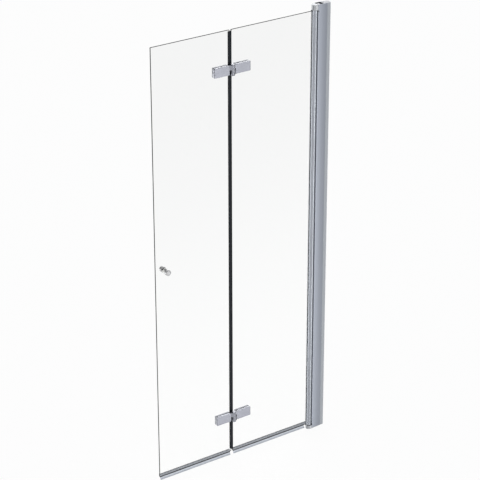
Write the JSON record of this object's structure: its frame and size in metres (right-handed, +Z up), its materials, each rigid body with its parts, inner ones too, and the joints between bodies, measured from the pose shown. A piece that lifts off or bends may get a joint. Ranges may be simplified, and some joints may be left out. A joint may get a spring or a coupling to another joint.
{
  "type": "bifold shower door",
  "caption": "Frameless bifold shower door: a wall profile with a round pivot carries two glass panes that fold on knuckle hinges, with a knob and drip seals.",
  "frame": {"origin": "on the wall face of the wall channel, level with the middle of the glass, at the foot of the channel", "axes": "+X into the wall, so the door runs towards -X; +Y to the back of the door, away from its hinge knuckles; +Z up along the wall channel"},
  "size_m": [0.869, 0.058, 2],
  "materials": {
    "anodised_aluminium": "satin anodised, drawn along its length",
    "grey_cap": "moulded, fine matt",
    "cast_block": "satin plated casting",
    "stainless": "turned stainless steel",
    "nylon": "natural nylon",
    "black_steel": "black oxide",
    "black_seal": "smooth dark seal",
    "clear_glass": "clear toughened safety glass",
    "grey_seal": "translucent soft extrusion",
    "satin_chrome": "satin chrome plated",
    "satin_knob": "satin chrome plated, turned",
    "grey_pad": "soft grey pad"
  },
  "bodies": {
    "wall_frame": {"wall_channel": "anodised_aluminium", "adjust_profile": "anodised_aluminium", "adjust_screws": "stainless", "channel_top_cap": "grey_cap", "top_pivot_block": "cast_block", "bottom_pivot_block": "cast_block", "block_screws": "stainless", "top_pivot_bush": "nylon", "bottom_pivot_bush": "nylon"},
    "inner_leaf": {"pivot_profile": "anodised_aluminium", "top_pivot_pin": "stainless", "bottom_pivot_pin": "stainless", "pin_lock_screws": "black_steel", "front_glazing_gasket": "black_seal", "back_glazing_gasket": "black_seal", "inner_glass": "clear_glass", "inner_drip_seal": "grey_seal", "upper_inner_hinge_leaf": "satin_chrome", "upper_inner_back_plate": "satin_chrome", "upper_inner_hinge_pads": "grey_pad", "upper_inner_hinge_screws": "stainless", "lower_inner_hinge_leaf": "satin_chrome", "lower_inner_back_plate": "satin_chrome", "lower_inner_hinge_pads": "grey_pad", "lower_inner_hinge_screws": "stainless", "upper_hinge_pin": "stainless", "upper_hinge_washer": "nylon", "lower_hinge_pin": "stainless", "lower_hinge_washer": "nylon"},
    "outer_leaf": {"outer_glass": "clear_glass", "seam_seal": "black_seal", "outer_drip_seal": "grey_seal", "upper_outer_hinge_leaf": "satin_chrome", "upper_outer_back_plate": "satin_chrome", "upper_outer_hinge_pads": "grey_pad", "upper_outer_hinge_screws": "stainless", "lower_outer_hinge_leaf": "satin_chrome", "lower_outer_back_plate": "satin_chrome", "lower_outer_hinge_pads": "grey_pad", "lower_outer_hinge_screws": "stainless", "knob_front": "satin_knob", "knob_back": "satin_knob", "knob_stud": "stainless", "knob_sleeve": "nylon", "knob_washers": "nylon"}
  },
  "joints": [
    {"name": "wall_pivot", "type": "hinge", "parent": "wall_frame", "child": "inner_leaf", "pos_m": [-0.072, 0, 0.017], "axis": [0, 0, 1], "range_deg": [-90, 90]},
    {"name": "panel_fold", "type": "hinge", "parent": "inner_leaf", "child": "outer_leaf", "pos_m": [-0.4885, -0.013, 0.203], "axis": [0, 0, 1], "range_deg": [0, 178]}
  ]
}
